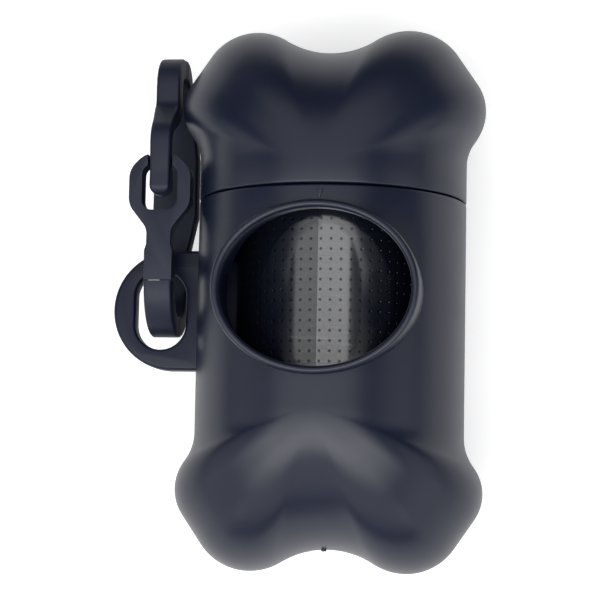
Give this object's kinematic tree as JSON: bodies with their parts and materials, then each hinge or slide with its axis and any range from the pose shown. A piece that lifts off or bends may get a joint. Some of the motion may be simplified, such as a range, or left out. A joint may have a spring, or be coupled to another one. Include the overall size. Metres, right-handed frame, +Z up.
{
  "type": "dog waste bag dispenser",
  "caption": "Bone-shaped dispenser for dog waste bags: round barrel with an oval bag opening, push-on lobed cap, side lug with a latching clip, and a roll of bags inside.",
  "frame": {"origin": "Middle of the footprint of the closed dispenser lying on its back, on the table.", "axes": "+Y runs along the bone towards the cap, +Z is up, out of the bag opening, and +X points away from the lug and clip."},
  "size_m": [0.0584, 0.085, 0.0428],
  "materials": {
    "shell": "fine satin moulded",
    "clip": "satin moulded",
    "film": "glossy thin film",
    "core": "plain paper tube"
  },
  "bodies": {
    "shell": {"body": "shell"},
    "lid": {"cap": "shell"},
    "roll": {"bag_roll": "film", "roll_core": "core"},
    "clip": {"clip_frame": "clip"},
    "latch": {"clip_latch": "clip"}
  },
  "joints": [
    {"name": "cap_lift", "type": "slide", "parent": "shell", "child": "lid", "axis": [0, 1, 0], "range_m": [0, 0.065]},
    {"name": "roll_spin", "type": "hinge", "parent": "shell", "child": "roll", "pos_m": [0.00528, 0, 0.02008], "axis": [0, 1, 0], "continuous": true},
    {"name": "clip_swing", "type": "hinge", "parent": "shell", "child": "clip", "pos_m": [-0.02107, 0.00595, 0.0206], "axis": [1, 0, 0], "range_deg": [-90, 110]},
    {"name": "latch_press", "type": "hinge", "parent": "clip", "child": "latch", "pos_m": [-0.02107, 0.00215, 0.0281], "axis": [-1, 0, 0], "range_deg": [0, 18], "stiffness_Nm_per_rad": 0.15}
  ]
}
